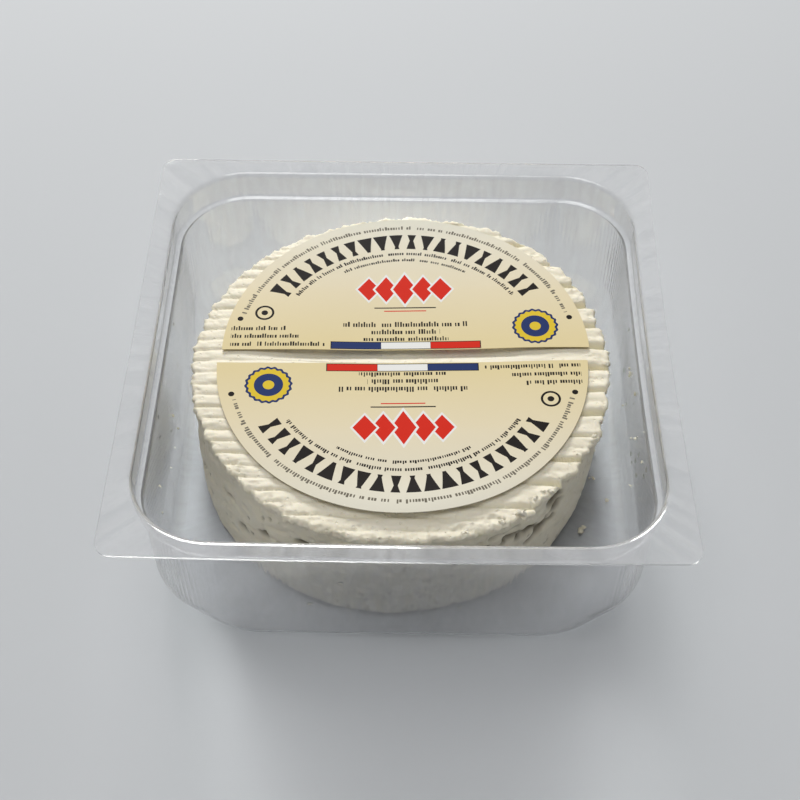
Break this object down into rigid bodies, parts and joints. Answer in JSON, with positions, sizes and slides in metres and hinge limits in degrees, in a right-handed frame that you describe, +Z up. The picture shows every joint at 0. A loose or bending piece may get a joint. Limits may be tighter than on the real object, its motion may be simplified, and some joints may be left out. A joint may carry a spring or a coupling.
{
  "type": "brillat-savarin",
  "caption": "Round fresh cheese with mat ridges on its top and two half-round paper labels, sitting in a clear square tray with a flat flange.",
  "frame": {"origin": "centre of the tray's base on the table", "axes": "+Z up, X along the straight edges of the labels, -Y towards the viewer of the picture"},
  "size_m": [0.1583, 0.1534, 0.056],
  "materials": {
    "clear_tray": "clear drawn plastic sheet, glossy",
    "fresh_curd": "moist ivory curd, satin",
    "label_paper": "coated cream paper, semi-matte"
  },
  "bodies": {
    "root": {"tray": "clear_tray", "cheese": "fresh_curd", "label_back": "label_paper", "label_front": "label_paper"}
  },
  "joints": []
}
